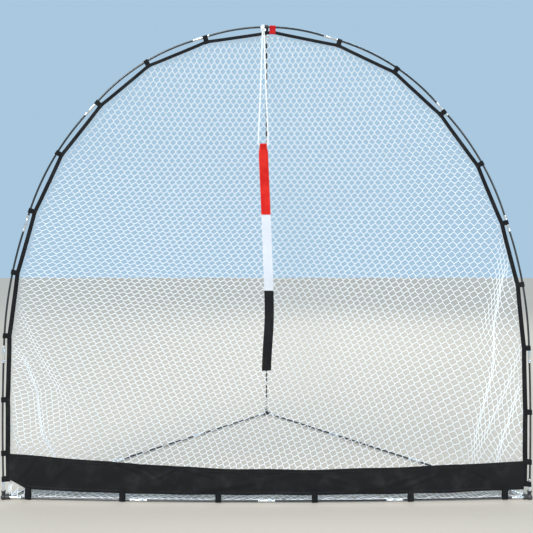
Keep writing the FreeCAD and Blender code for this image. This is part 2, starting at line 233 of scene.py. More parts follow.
join(place, "Object", fine, "Vector")
join(wear_in, "Scratch Scale", fine, "Scale")
join(fine, "Fac", wear_out, "Height")


def worn(material, clean, rubbed, roughness, **values):
    """Colour and roughness that go from clean to rubbed where the surface is worn."""
    tree = material.node_tree
    shader = tree.nodes["Principled BSDF"]
    marks = use(material, wear, **values)
    tree.links.new(mixed(tree, marks.outputs["Mask"], clean, rubbed), shader.inputs["Base Color"])
    gloss = add(tree, "ShaderNodeMapRange", To_Min=roughness[0], To_Max=roughness[1])
    join(marks, "Mask", gloss, "Value")
    join(gloss, "Result", shader, "Roughness")
    return marks


def worn_material(name, clean, rubbed, roughness, marked, depth, strength, metallic=0.0, **sockets):
    """A worn material: marked is the wear's blotch scale, amount and scratch scale."""
    made, shader = new_material(name, clean, roughness[0], metallic)
    values = dict(zip(("Blotch_Scale", "Amount", "Scratch_Scale"), marked))
    marks = worn(made, clean, rubbed, roughness, **values)
    bump(made, marks.outputs["Height"], depth, strength)
    for key, value in sockets.items():
        shader.inputs[key.replace("_", " ")].default_value = value
    return made


def dress(node, material):
    """The material put on a CAD node."""
    piece = nodes[node]
    piece.data.materials.clear()
    piece.data.materials.append(material)


fibreglass = worn_material("black_fibreglass", (0.010, 0.013, 0.015), (0.055, 0.06, 0.062), (0.17, 0.42),
                           (22.0, 0.55, 900.0), 0.0001, 0.35, Coat_Weight=0.5, Coat_Roughness=0.12)
for name in nodes:
    if "_rod_" in name:
        dress(name, fibreglass)
        nodes[name].data.shade_smooth()


# ---------------------------------------------------------------------------------------------------
# Ferrules and socket sleeves. Drawn aluminium tubes, 68 and 60 mm long, with rolled ends; two ring
# crimps hold each one on its rod, and the sleeves sit in the connectors' sockets.
FERRULE = 0.068
SLEEVE = 0.060
SLEEVE_START = 0.014
TUBE_RADIUS = 0.0052
ARCH_ROD = 0.5385
ROD_END = 0.038
LEAN = 1.4
SIDE_BENDS = (3.1, 15.8, 24.2, 31.3)
RAIL_BEND, POLE_BEND = 1.9, 9.5

lift = Vector((0, 0, AXIS_HEIGHT))
feet = {mount["name"]: Vector(mount["pos_m"]) + lift for mount in frame["record"]["mounts"]}
left_corner, right_corner, hub = feet["left_corner_foot"], feet["right_corner_foot"], feet["rear_hub_foot"]
SPAN = right_corner.x - left_corner.x

# the arch's centre line, walked in short steps from the left foot to the right one
crown_bend = 2 * (90 + LEAN - sum(SIDE_BENDS))
bends = SIDE_BENDS + (crown_bend,) + SIDE_BENDS[::-1]
turn_at, heading_at, heading = [], [], -LEAN
for number, bend in enumerate(bends):
    turn_at += [number * ARCH_ROD + ROD_END, (number + 1) * ARCH_ROD - ROD_END]
    heading_at += [heading, heading + bend]
    heading += bend
ARCH_LENGTH = ARCH_ROD * len(bends)
WALK_STEPS = 4800
walk = np.linspace(0, ARCH_LENGTH, WALK_STEPS + 1)
walk_heading = np.radians(np.interp(walk, turn_at, heading_at))
stride = ARCH_LENGTH / WALK_STEPS
middles = (walk_heading[1:] + walk_heading[:-1]) / 2
walk_x = np.concatenate(([0], np.cumsum(np.sin(middles)) * stride))
walk_z = np.concatenate(([0], np.cumsum(np.cos(middles)) * stride))
walk_x -= walk_x[WALK_STEPS // 2]
walk_z += AXIS_HEIGHT + ROD_START * cos(radians(LEAN))


def arch_place(distance):
    """Point, tangent and inward direction of the arch at a distance from its crown."""
    at = ARCH_LENGTH / 2 + distance
    angle = np.interp(at, walk, walk_heading)
    point = Vector((np.interp(at, walk, walk_x), FRONT, np.interp(at, walk, walk_z)))
    return point, Vector((sin(angle), 0, cos(angle))), Vector((cos(angle), 0, -sin(angle)))


def turned(vector, axis, angle):
    """The vector turned about an axis."""
    return Quaternion(axis, angle) @ vector


def bowed(a, b, axis, count, bend):
    """Joints between equal rods bowed from one connector to another, and the heading at each end."""
    half = radians(count * bend / 2)
    turns = [radians(bend) * (k + 0.5) - half for k in range(count)]
    chord = ((b - a).length - 2 * ROD_START * cos(half)) / sum(cos(t) for t in turns)
    line = (b - a).normalized()
    at = a + turned(line, axis, -half) * ROD_START
    joints = []
    for number, turn in enumerate(turns, 1):
        at = at + turned(line, axis, turn) * chord
        joints.append((at, turned(line, axis, radians(bend) * number - half)))
    return joints[:-1], turned(line, axis, -half), turned(line, axis, half)


def put(name, verts, faces, material, slot, body="frame", uvs=None, sharp_above=None):
    """A smooth mesh with its material and weave coordinates, on its body if one is given; the slot is not used."""
    mesh = bpy.data.meshes.new(name)
    mesh.from_pydata(np.asarray(verts).tolist(), [], [list(map(int, face)) for face in faces])
    mesh.materials.append(material)
    if uvs is not None:
        layer = mesh.uv_layers.new(name="weave")
        order = np.zeros(len(mesh.loops), int)
        mesh.loops.foreach_get("vertex_index", order)
        layer.data.foreach_set("uv", np.asarray(uvs)[order].ravel())
    mesh.shade_smooth()
    if sharp_above:
        mesh.set_sharp_from_angle(angle=radians(sharp_above))
    piece = bpy.data.objects.new(name, mesh)
    bpy.context.scene.collection.objects.link(piece)
    if body:
        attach(piece, body)
    return piece


def rings_to_faces(rings, sides, start=0, closed=False):
    """Quads between neighbouring rings of points."""
    a = np.arange(rings if closed else rings - 1)[:, None] * sides
    b = (a + sides) % (rings * sides)
    k = np.arange(sides)[None]
    n = (k + 1) % sides
    return (np.stack([a + k, a + n, b + n, b + k], -1) + start).reshape(-1, 4)


def turned_tubes(name, outline, places, material, slot, sides=28):
    """Closed turned pieces: the outline is pairs of distance along the axis and radius."""
    verts, faces = [], []
    angles = np.arange(sides) * 2 * pi / sides
    for start, along in places:
        side = along.orthogonal().normalized()
        up = along.cross(side)
        frame_rows = np.array([side, up])
        spokes = np.stack([np.cos(angles), np.sin(angles)], 1) @ frame_rows
        first = sum(len(v) for v in verts)
        for distance, radius in outline:
            verts.append(np.array(start + along * distance) + spokes * radius)
        faces.append(rings_to_faces(len(outline), sides, first, closed=True))
    return put(name, np.concatenate(verts), np.concatenate(faces), material, slot, sharp_above=32)


def tube_outline(length, crimps):
    """A thin tube with rolled lips and a shallow ring crimp at each of the distances."""
    lip, groove, bore = 0.0004, 0.0005, ROD_RADIUS + 0.00008
    points = [(0.0005, bore), (0, bore + 0.0004), (0, TUBE_RADIUS), (0.0006, TUBE_RADIUS + lip),
              (0.0020, TUBE_RADIUS + lip), (0.0026, TUBE_RADIUS)]
    for at in crimps:
        points += [(at - 0.0020, TUBE_RADIUS), (at - 0.0010, TUBE_RADIUS - groove),
                   (at + 0.0010, TUBE_RADIUS - groove), (at + 0.0020, TUBE_RADIUS)]
    points += [(length - d, r) for d, r in points[5::-1]]
    return points


aluminium = worn_material("drawn_aluminium", (0.78, 0.80, 0.82), (0.42, 0.43, 0.44), (0.24, 0.5),
                          (60.0, 0.7, 1500.0), 0.00008, 0.5, metallic=1.0, Anisotropic=0.3)

X_AXIS, Y_AXIS, Z_AXIS = Vector((1, 0, 0)), Vector((0, 1, 0)), Vector((0, 0, 1))
crown, _, _ = arch_place(0)
rail_joints, rail_left, rail_right = bowed(left_corner, right_corner, Z_AXIS, 4, RAIL_BEND)
pole_joints, pole_top, pole_foot = bowed(crown, hub, -X_AXIS, 4, POLE_BEND)
leg_joints, leg_left, _ = bowed(left_corner, hub, Z_AXIS, 3, 0)
more_joints, leg_right, _ = bowed(right_corner, hub, Z_AXIS, 3, 0)
leg_joints += more_joints
arch_joints = []
for number in range(1, len(bends)):
    point, tangent, _ = arch_place(number * ARCH_ROD - ARCH_LENGTH / 2)
    arch_joints.append((point, tangent))

ferrule_outline = tube_outline(FERRULE, (0.012, FERRULE - 0.012))
joints_of = {"arch": arch_joints, "rail": rail_joints, "leg": leg_joints, "pole": pole_joints}
for name, joints in joints_of.items():
    places = [(point - along * (FERRULE / 2), along) for point, along in joints]
    tubes = turned_tubes(f"{name}_ferrule_tubes", ferrule_outline, places, aluminium, "ferrule_metal")
    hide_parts(f"{name}_ferrules")

foot_left = Vector((-sin(radians(LEAN)), 0, cos(radians(LEAN))))
foot_right = Vector((-foot_left.x, 0, foot_left.z))
sleeve_outline = tube_outline(SLEEVE, (SLEEVE - 0.012,))
for name, centre, headings in (
        ("corner_sleeves_left", left_corner, (foot_left, rail_left, leg_left)),
        ("corner_sleeves_right", right_corner, (foot_right, -rail_right, leg_right)),
        ("hub_sleeves", hub, (-leg_left, -leg_right, -pole_foot)),
        ("crown_sleeve", crown, (pole_top,))):
    places = [(centre + along * SLEEVE_START, along) for along in headings]
    tubes = turned_tubes(name + "_tubes", sleeve_outline, places, aluminium, "ferrule_metal")
    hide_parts(name)


# ---------------------------------------------------------------------------------------------------
# Connectors. The two corner knuckles, the rear hub and the tee at the crown are moulded in black
# nylon with a fine spark-eroded grain, scuffed where they meet the ground.
nylon = worn_material("moulded_nylon", (0.016, 0.016, 0.018), (0.085, 0.08, 0.075), (0.42, 0.68),
                      (70.0, 0.6, 2600.0), 0.0002, 0.6)
for name in ("corner_connector_left", "corner_connector_right", "rear_hub", "crown_tee"):
    dress(name, nylon)


# ---------------------------------------------------------------------------------------------------
# Edge webbing. Black woven tape, 16 mm wide, sewn along the edge of the net and pulled straight from
# tab to tab, in a left and a right length that meet under the red tab.
WEB_WIDTH, WEB_THICK = 0.016, 0.0016
WEB_AT_CROWN, WEB_AT_FOOT = 0.0125, 0.0205   # it is pulled edge-on at the crown and lies open at the feet
WEB_INSET = 0.020
CROWN_TAB = 0.025
TAB_FIRST, TAB_PITCH, TABS_A_SIDE = 0.278, 0.2595, 8
LOW_TABS_LEFT = (0.186, 0.082)
LOW_TABS_RIGHT = (0.151, 0.062)

steps = [TAB_FIRST + TAB_PITCH * n for n in range(TABS_A_SIDE)]
feet_up = AXIS_HEIGHT + ROD_START + ARCH_LENGTH / 2
tab_places = {
    "left": [CROWN_TAB - step for step in steps] + [height - feet_up for height in LOW_TABS_LEFT],
    "right": [CROWN_TAB + step for step in steps] + [feet_up - height for height in LOW_TABS_RIGHT]}


def distances(line):
    """How far along the line each of its points is."""
    return np.concatenate(([0], np.cumsum(np.linalg.norm(np.diff(line, axis=0), axis=1))))


def band(centres, sides, normals, width, thick, ring=14):
    """A flat tape swept along a line, with rounded edges: points, quads and weave coordinates."""
    angles = (np.arange(ring) + 0.5) * 2 * pi / ring
    across = np.sign(np.cos(angles)) * np.abs(np.cos(angles)) ** 0.35 / 2
    proud = np.sign(np.sin(angles)) * np.abs(np.sin(angles)) ** 0.6 * thick / 2
    centres, sides, normals = (np.asarray(a, float) for a in (centres, sides, normals))
    across = across * np.broadcast_to(width, len(centres))[:, None]
    verts = centres[:, None] + sides[:, None] * across[..., None]
    verts = verts + normals[:, None] * proud[None, :, None]
    uvs = np.stack(np.broadcast_arrays(across, distances(centres)[:, None]), -1).reshape(-1, 2)
    count = len(centres)
    faces = rings_to_faces(count, ring).tolist()
    ends = [list(range(ring))[::-1], list(range((count - 1) * ring, count * ring))]
    return verts.reshape(-1, 3), faces, ends, uvs


def put_bands(name, bands, material, slot, body="frame"):
    """Several tapes as one piece."""
    verts, faces, uvs, first = [], [], [], 0
    for points, quads, ends, coords in bands:
        verts.append(points)
        uvs.append(coords)
        faces += [[first + i for i in face] for face in quads + ends]
        first += len(points)
    return put(name, np.concatenate(verts), faces, material, slot, body, np.concatenate(uvs), sharp_above=50)


# plain weave: threads pass over and under each other, at the named pitches, with uneven yarns
weave, weave_in, weave_out = group(
    "plain_weave",
    [("Across Pitch", "NodeSocketFloat", 0.0012), ("Along Pitch", "NodeSocketFloat", 0.0012),
     ("Unevenness", "NodeSocketFloat", 0.3)],
    [("Height", "NodeSocketFloat"), ("Thread", "NodeSocketFloat"), ("Soil", "NodeSocketFloat")])
coords = add(weave, "ShaderNodeUVMap", uv_map="weave")
split = add(weave, "ShaderNodeSeparateXYZ")
join(coords, "UV", split, "Vector")
waves = []
for axis, pitch in (("X", "Across Pitch"), ("Y", "Along Pitch")):
    count = calculated(weave, "DIVIDE", split.outputs[axis], weave_in.outputs[pitch])
    waves.append(calculated(weave, "SINE", calculated(weave, "MULTIPLY", count, pi)))
level = calculated(weave, "ABSOLUTE", calculated(weave, "MULTIPLY", *waves))
yarn = add(weave, "ShaderNodeTexNoise", Scale=420.0, Detail=3.0)
join(coords, "UV", yarn, "Vector")
uneven = calculated(weave, "MULTIPLY_ADD", yarn.outputs["Fac"], weave_in.outputs["Unevenness"], level)
weave.links.new(uneven, weave_out.inputs["Height"])
# Thread is low in the gaps between the threads, where the cloths paint shade
weave.links.new(level, weave_out.inputs["Thread"])
where = add(weave, "ShaderNodeTexCoord")
soil = add(weave, "ShaderNodeTexNoise", Scale=16.0, Detail=5.0, Roughness=0.65)
join(where, "Object", soil, "Vector")
join(soil, "Fac", weave_out, "Soil")


def cloth(name, gap_shade, crown_colour, dusty, roughness, pitches, depth, sheen, unevenness=0.3):
    """Woven cloth: darker between the threads as painted shade, lighter on them, with dusty or faded areas."""
    made, shader = new_material(name, crown_colour, roughness)
    tree = made.node_tree
    threads = use(made, weave, Across_Pitch=pitches[0], Along_Pitch=pitches[1], Unevenness=unevenness)
    # painted shade: the colour goes dark in the gaps between the threads
    base = mixed(tree, threads.outputs["Thread"], gap_shade, crown_colour)
    fade = add(tree, "ShaderNodeMapRange", From_Min=0.5, From_Max=0.78, To_Max=0.8)
    join(threads, "Soil", fade, "Value")
    tree.links.new(mixed(tree, fade.outputs["Result"], base, dusty), shader.inputs["Base Color"])
    shader.inputs["Sheen Weight"].default_value = sheen
    shader.inputs["Specular IOR Level"].default_value = 0.16
    shader.inputs["Sheen Roughness"].default_value = 0.4
    bump(made, threads.outputs["Height"], depth, 0.8)
    return made


# the first colour of each cloth is painted shade in the gaps between its threads
black_tape = cloth("black_webbing", (0.002, 0.002, 0.003), (0.010, 0.011, 0.012), (0.022, 0.021, 0.020),
                   0.72, (0.0014, 0.0021), 0.0004, 0.04)

CORNER_STEPS = 14
for side, places in tab_places.items():
    corners = []
    for distance in [CROWN_TAB] + places:
        point, tangent, inward = arch_place(distance)
        corners.append((point + inward * WEB_INSET, inward))
    centres, sides = [], []
    for (a, in_a), (b, in_b) in zip(corners, corners[1:]):
        for share_along in np.arange(CORNER_STEPS) / CORNER_STEPS:
            slack = 0.0012 * sin(pi * share_along)
            inward = in_a.lerp(in_b, share_along).normalized()
            centres.append(a.lerp(b, share_along) + inward * slack + Y_AXIS * (0.0006 * sin(9 * share_along)))
            sides.append(inward)
    centres.append(corners[-1][0])
    sides.append(corners[-1][1])
    opening = [(1 - centre.z / crown.z) ** 0.8 for centre in centres]
    widths = [WEB_AT_CROWN + (WEB_AT_FOOT - WEB_AT_CROWN) * share_open for share_open in opening]
    edge = band(centres, sides, [Y_AXIS] * len(centres), widths, WEB_THICK)
    tape = put_bands(f"edge_webbing_{side}", [edge], black_tape, "webbing_black")
    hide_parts(f"net_webbing_{side}")


# ---------------------------------------------------------------------------------------------------
# Tabs. Short lengths of tape, folded over the arch rod and sewn through the edge webbing with a row of
# lock stitches each side, ten on the left, ten on the right and a wider red one beside the crown.
TAB_WIDTH, CROWN_TAB_WIDTH, TAB_THICK = 0.020, 0.025, 0.0014
TAB_BORE = 0.0054
TAB_REACH = 0.028
LOOP_STEPS = 16


def loop_path(radius, reach, half_gap):
    """Line of a fold round the origin: out along the front, round, and back, as (reach, height) pairs."""
    arc = [(-radius * sin(a), -radius * cos(a)) for a in np.linspace(0, pi, LOOP_STEPS)]
    shares = (1, 0.82, 0.64, 0.46, 0.3, 0.15)
    lead = [(reach * s, -half_gap - (radius - half_gap) * (1 - s) ** 1.5) for s in shares]
    return lead + arc + [(x, -y) for x, y in lead[::-1]]


def loop_band(at, inward, along, reach, width, held, skew=0.0):
    """One folded tab, its ends held on cloth of thickness held, and turned a little by skew."""
    across = inward.cross(along)
    along = turned(along, across, skew)
    flat = loop_path(TAB_BORE + TAB_THICK / 2, reach, held / 2 + TAB_THICK / 2 + 0.0002)
    centres = [at + inward * x + across * y for x, y in flat]
    tangents = [(b - a).normalized() for a, b in zip(centres[:-1], centres[1:])]
    tangents.append(tangents[-1])
    normals = [along.cross(t).normalized() for t in tangents]
    return band(centres, [along] * len(centres), normals, width, TAB_THICK)


def stitch_rows(rows, length=0.0024, gap=0.0010, radius=0.00032):
    """Short raised stitches along each row, a pair of points and the cloth's normal: points and quads."""
    verts, faces, sides = [], [], 5
    angles = np.arange(sides) * 2 * pi / sides
    for a, b, normal in rows:
        line = (b - a)
        count = max(1, int(line.length / (length + gap)))
        along = line.normalized()
        side = along.cross(normal).normalized()
        spokes = np.stack([np.cos(angles), np.sin(angles)], 1) @ np.array([side, normal])
        for number in range(count):
            middle = a + along * ((number + 0.5) * line.length / count)
            first = sum(len(v) for v in verts)
            for offset, size, lift in ((-0.5, 0.25, -0.4), (-0.38, 0.9, 0.3), (0, 1, 0.55), (0.38, 0.9, 0.3),
                                       (0.5, 0.25, -0.4)):
                centre = np.array(middle + along * (offset * length) + normal * (radius * lift))
                verts.append(centre + spokes * radius * size)
            faces.append(rings_to_faces(5, sides, first))
            ends = np.array([[0, 1, 2, 3, 4][::-1], [20, 21, 22, 23, 24]]) + first
            faces.append(ends)
    return np.concatenate(verts), [f for group_faces in faces for f in group_faces.tolist()]


sewing = {}
for shade, clean, rubbed in (("black", (0.03, 0.03, 0.032), (0.08, 0.08, 0.08)),
                             ("red", (0.48, 0.02, 0.03), (0.62, 0.1, 0.1)),
                             ("white", (0.82, 0.83, 0.84), (0.6, 0.58, 0.55))):
    sewing[shade], _ = new_material(f"{shade}_thread", clean, 0.55)
    worn(sewing[shade], clean, rubbed, (0.5, 0.7), Blotch_Scale=200.0)
# the first colour is painted shade in the gaps between the threads
red_tape = cloth("red_webbing", (0.28, 0.002, 0.004), (0.62, 0.004, 0.010), (0.62, 0.02, 0.022),
                 0.66, (0.0014, 0.0021), 0.0004, 0.03)


def sew(name, rows, shade, slot, body="frame", **sizes):
    """Rows of stitches in one colour of thread, as one piece."""
    put(name, *stitch_rows(rows, **sizes), sewing[shade], slot, body)


def tab_stitches(at, inward, along, width):
    """Two rows across the tab's sewn end, front and back."""
    rows = []
    across = inward.cross(along)
    proud = WEB_THICK / 2 + TAB_THICK + 0.0006
    for side in (-1, 1):
        for reach in (TAB_REACH - 0.003, TAB_REACH - 0.013):
            middle = at + inward * reach + across * (side * proud)
            half = along * (width / 2 - 0.003)
            rows.append((middle - half, middle + half, across * side))
    return rows


dice = np.random.default_rng(7)
for side, places in tab_places.items():
    loops, rows = [], []
    for distance in places:
        point, tangent, inward = arch_place(distance)
        skew = float(dice.uniform(-0.07, 0.07))
        loops.append(loop_band(point, inward, tangent, TAB_REACH, TAB_WIDTH, WEB_THICK, skew))
        rows += tab_stitches(point, inward, tangent, TAB_WIDTH)
    tabs = put_bands(f"tabs_{side}", loops, black_tape, "webbing_black")
    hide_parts(f"arch_tabs_{side}")
    sew(f"tab_stitching_{side}", rows, "black", "webbing_black")
point, tangent, inward = arch_place(CROWN_TAB)
red_tab = put_bands("red_tab", [loop_band(point, inward, tangent, TAB_REACH, CROWN_TAB_WIDTH, WEB_THICK)],
                    red_tape, "tab_red")
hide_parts("crown_tab")
sew("red_tab_stitching", tab_stitches(point, inward, tangent, CROWN_TAB_WIDTH), "red", "tab_red")


# ---------------------------------------------------------------------------------------------------
# Net. White knotless polyester mesh with diamonds about 29 mm wide and 34 mm tall, hung by its edge
# from the webbing. It bellies backwards, gathers in folds at the sides and lies on the ground to the rail.
MESH_WIDE, MESH_TALL = 0.029, 0.034
TWINE_RADIUS = 0.00135
TWINE_SIDES = 5
JUNCTION = 0.0022                       # half the length over which two twines run together
NET_BACK_SET, NET_DEPTH = 0.0045, 0.29
NET_TOP = crown.z - WEB_INSET
NET_TURN = 0.035                        # radius of the turn from standing to lying
NET_LIES_AT = 0.0035
RAIL_CLEAR = 0.012
FULLNESS = 2.5
DRAW, TURN = 0.25, 0.46                 # the lower net is pulled down at its right and left at its foot
STRETCH, STRETCH_FADES = 0.20, 0.45     # the hanging weight draws the meshes long below the crown
RISE, EASE = 0.05, 0.07                 # the rows rise towards both sides, and the pull eases off there
LOW_FROM, TIGHT_FROM = 1.35, 0.95       # heights where the askew part and the narrowed part begin

rail_bow = FRONT - (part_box("rail_rod_2")[0].y + ROD_RADIUS)


def rail_y(x):
    """How far forward the bowed rail is at x."""
    return FRONT - rail_bow * (1 - (2 * x / SPAN) ** 2)


edge_line = {}
for side, places in tab_places.items():
    corners = [arch_place(distance) for distance in [CROWN_TAB] + places]
    points = np.array([(p + inward * WEB_INSET).to_tuple() for p, _, inward in corners])[::-1]
    edge_line[side] = points[:, [0, 2]]
dense = []
for points in edge_line.values():
    for a, b in zip(points[:-1], points[1:]):
        dense.append(a + (b - a) * np.linspace(0, 1, 60)[:, None])
dense = np.concatenate(dense)


def edge_x(z, side):
    """The webbing's place across at a height."""
    points = edge_line[side]
    return np.interp(z, points[:, 1], points[:, 0])


NET_FULL_WIDTH, NET_FULL_DROP = 3.25, 2.46     # wider than the arch; the folds take that up
columns, rows_down = 2 * int(NET_FULL_WIDTH / MESH_WIDE), 2 * int(NET_FULL_DROP / MESH_TALL)
i, j = np.meshgrid(np.arange(columns + 1), np.arange(rows_down + 1), indexing="ij")
dice = np.random.default_rng(21)


def ripple(x, z, size, seed):
    """Smooth irregular waves from -1 to 1 over the cloth."""
    pick = np.random.default_rng(seed)
    total = np.zeros_like(x)
    for _ in range(6):
        angle, phase, scale = pick.uniform(0, 2 * pi), pick.uniform(0, 2 * pi), pick.uniform(0.6, 1.6)
        total += np.sin((x * cos(angle) + z * sin(angle)) * 2 * pi / (size * scale) + phase)
    return total / 3.2


across = (i - columns / 2) * MESH_WIDE / 2
down = j * MESH_TALL / 2
height = NET_TOP + 0.01 - down - STRETCH * STRETCH_FADES * (1 - np.exp(-down / STRETCH_FADES))

# the mesh narrows towards the crown, spreads towards the ground, and its rows rise towards the sides
low_share = np.clip((LOW_FROM - height) / LOW_FROM, 0, 1)
tight = np.clip((height - TIGHT_FROM) / TIGHT_FROM, 0, 1)
across = across * (1 - 0.22 * tight ** 1.3) * (1 + 0.06 * low_share)
sag = RISE * across ** 2 - DRAW * across - EASE * across ** 3
height = height + sag * low_share ** 1.5
across = across - TURN * low_share ** 1.5
height = height + 0.005 * ripple(across, height, 0.7, 3)
across = across + 0.007 * ripple(across, height, 0.6, 4) * np.clip(1.6 - height, 0.2, 1)

# gathered folds: across and height at the top and the bottom, width, pull, and how far it stands out
FOLDS = [(-1.13, 0.72, -0.93, 0.10, 0.060, 0.95, -0.034), (-1.05, 0.88, -0.90, 0.42, 0.035, 0.7, 0.016),
         (-1.08, 0.62, -1.01, 0.10, 0.030, 0.7, 0.018),
         (1.05, 1.14, 0.925, 0.26, 0.042, 0.92, -0.030), (0.965, 1.16, 0.93, 0.70, 0.026, 0.6, 0.016),
         (1.13, 0.60, 0.99, 0.05, 0.042, 0.88, -0.030), (1.09, 0.80, 0.93, 0.22, 0.030, 0.75, 0.018)]
stand_out = np.zeros_like(across)
for top_x, top_z, low_x, low_z, wide, pull, out in FOLDS:
    along = (top_z - height) / (top_z - low_z)
    line = top_x + (low_x - top_x) * along + 0.022 * np.sin(pi * np.clip(along, 0, 1.2)) * np.sign(top_x)
    fades = np.clip(along / 0.3, 0, 1) * np.clip((1.4 - along) / 0.4, 0, 1)
    off = across - line
    across = across - pull * wide * (np.tanh(off / wide) + np.sign(top_x)) * fades
    stand_out += out * np.exp(-((across - line) / wide) ** 2) * fades

low = np.clip(height, 0.0, None)
half = np.where(across < 0, -edge_x(low, "left"), edge_x(low, "right"))
rise = np.clip((height - NET_TURN) / (NET_TOP - NET_TURN), 0, 1)
belly = np.clip(1 - np.abs(across / np.maximum(half, 0.02)) ** FULLNESS, 0, 1)
deep = NET_BACK_SET + NET_DEPTH * belly * (1 - rise ** 2)
hollow = 0.014 * ripple(across, height, 0.5, 5) * belly * (1 - rise)
standing_y = FRONT + deep + hollow + stand_out * belly ** 0.5
bend = np.clip((NET_TURN - height) / NET_TURN, 0, pi / 2)
lying = np.clip(NET_TURN - height - NET_TURN * pi / 2, 0, None)
net_y = standing_y - NET_TURN * (1 - np.cos(bend)) - lying
flat_on = np.clip(lying / 0.02, 0, 1)
creases = 0.5 + 0.5 * ripple(across, lying * 3, 0.16, 6)
net_z = np.where(height > NET_TURN, height, NET_TURN * (1 - np.sin(bend))) + NET_LIES_AT
net_z = net_z + flat_on * 0.007 * creases
net_x = across + dice.normal(0, 0.0007, across.shape)
net_z = np.maximum(net_z + dice.normal(0, 0.0006, across.shape) * (flat_on < 0.5), NET_LIES_AT)
grid = np.stack([net_x, net_y, net_z], -1)

stop = rail_y(net_x) + RAIL_CLEAR
past_rail = (net_y < stop) & (height < 0.12)
past_side = (net_x < edge_x(low, "left")) | (net_x > edge_x(low, "right")) | (height > NET_TOP)
cell = (i + j) % 2 == 0
inside = cell & ~past_rail & ~past_side
outside = cell & ~inside
for a, b in np.argwhere(outside & past_side & ~past_rail):
    gap = dense - grid[a, b][[0, 2]]
    nearest = dense[(gap ** 2).sum(1).argmin()]
    grid[a, b] = (nearest[0], FRONT + 0.0018, nearest[1] if height[a, b] > 0.07 else net_z[a, b])
    if height[a, b] <= 0.07:
        grid[a, b, 0] = edge_x(0.05, "left" if net_x[a, b] < 0 else "right")
bound = outside & past_rail
grid[..., 1] = np.where(bound, stop, grid[..., 1])
grid[..., 2] = np.where(bound, NET_LIES_AT + 0.004, grid[..., 2])


def unit(v):
    """Vectors of length one; the small number keeps empty ones from dividing by nothing."""
    return v / (np.linalg.norm(v, axis=-1, keepdims=True) + 1e-12)


run_i = np.gradient(grid, axis=0)
run_j = np.gradient(grid, axis=1)
face_normal = unit(np.cross(run_i, run_j))
down_cloth = unit(run_j)
side_cloth = np.cross(face_normal, down_cloth)


def circles(out_way, side_way, angles):
    """Spokes of unit length at these angles, for a row of places with two directions each."""
    return (out_way[:, None] * np.cos(angles)[None, :, None]
            + side_way[:, None] * np.sin(angles)[None, :, None])


def bridge(ring_from, ring_to):
    """Quads between pairs of rings, given by the number of each ring's first point."""
    k = np.arange(TWINE_SIDES)
    n = (k + 1) % TWINE_SIDES
    a, b = ring_from[:, None], ring_to[:, None]
    return np.stack([a + k, a + n, b + n, b + k], -1).reshape(-1, 4)


angles = np.arange(TWINE_SIDES) * 2 * pi / TWINE_SIDES
net_verts, net_faces, net_region = [], [], []
LEFT_OF, RIGHT_OF = -0.35, 0.35         # the standing net is three pieces, parted at these places
GROUND = 3                              # the number of the piece on the ground, after those three
region = np.where(across < LEFT_OF, 0, np.where(across < RIGHT_OF, 1, 2))
region = np.where(height <= NET_TURN, GROUND, region)
first = 0
for step in (1, -1):
    a = np.argwhere(cell)
    follows = a + (step, 1)
    fits = (follows[:, 0] >= 0) & (follows[:, 0] <= columns) & (follows[:, 1] <= rows_down)
    a, follows = a[fits], follows[fits]
    ai, aj, bi, bj = a[:, 0], a[:, 1], follows[:, 0], follows[:, 1]
    kept = inside[ai, aj] | inside[bi, bj]
    ai, aj, bi, bj = ai[kept], aj[kept], bi[kept], bj[kept]
    p, q = grid[ai, aj], grid[bi, bj]
    weft = step * TWINE_RADIUS * 0.8
    over = step * TWINE_RADIUS * 0.55
    leave = p + down_cloth[ai, aj] * JUNCTION + side_cloth[ai, aj] * weft + face_normal[ai, aj] * over
    enter = q - down_cloth[bi, bj] * JUNCTION - side_cloth[bi, bj] * weft + face_normal[bi, bj] * over
    tangent = unit(enter - leave)

    for centre, normal in ((leave, face_normal[ai, aj]), (enter, face_normal[bi, bj])):
        side_way = unit(np.cross(tangent, normal))
        spokes = circles(np.cross(side_way, tangent), side_way, angles)
        net_verts.append((centre[:, None] + spokes * TWINE_RADIUS).reshape(-1, 3))
    count = len(ai)
    leave_at = first + np.arange(count) * TWINE_SIDES
    enter_at = leave_at + count * TWINE_SIDES
    net_faces.append(bridge(leave_at, enter_at))
    net_region.append(np.repeat(region[ai, aj], TWINE_SIDES))
    # where a twine goes on through a junction, its end ring meets its next length's first ring
    first_at = np.full((columns + 1, rows_down + 1), -1)
    first_at[ai, aj] = leave_at
    goes_on = first_at[bi, bj] >= 0
    net_faces.append(bridge(enter_at[goes_on], first_at[bi, bj][goes_on]))
    net_region.append(np.repeat(region[bi[goes_on], bj[goes_on]], TWINE_SIDES))
    first += 2 * count * TWINE_SIDES
net_verts = np.concatenate(net_verts)
net_faces = np.concatenate(net_faces)
net_region = np.concatenate(net_region)

twine = worn_material("white_twine", (0.93, 0.95, 0.97), (0.80, 0.80, 0.78), (0.5, 0.75),
                      (30.0, 0.5, 2200.0), 0.0005, 0.7, Sheen_Weight=0.5)

for number, name in enumerate(("net_left", "net_middle", "net_right", "net_on_the_ground")):
    faces = net_faces[net_region == number]
    used, renumbered = np.unique(faces, return_inverse=True)
    part = put(name, net_verts[used], renumbered.reshape(faces.shape), twine, "net_white", sharp_above=80)
    low_corner, high_corner = net_verts[used].min(0), net_verts[used].max(0)
    wide = high_corner[0] - low_corner[0]
    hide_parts("net_standing" if number < GROUND else "net_on_ground")


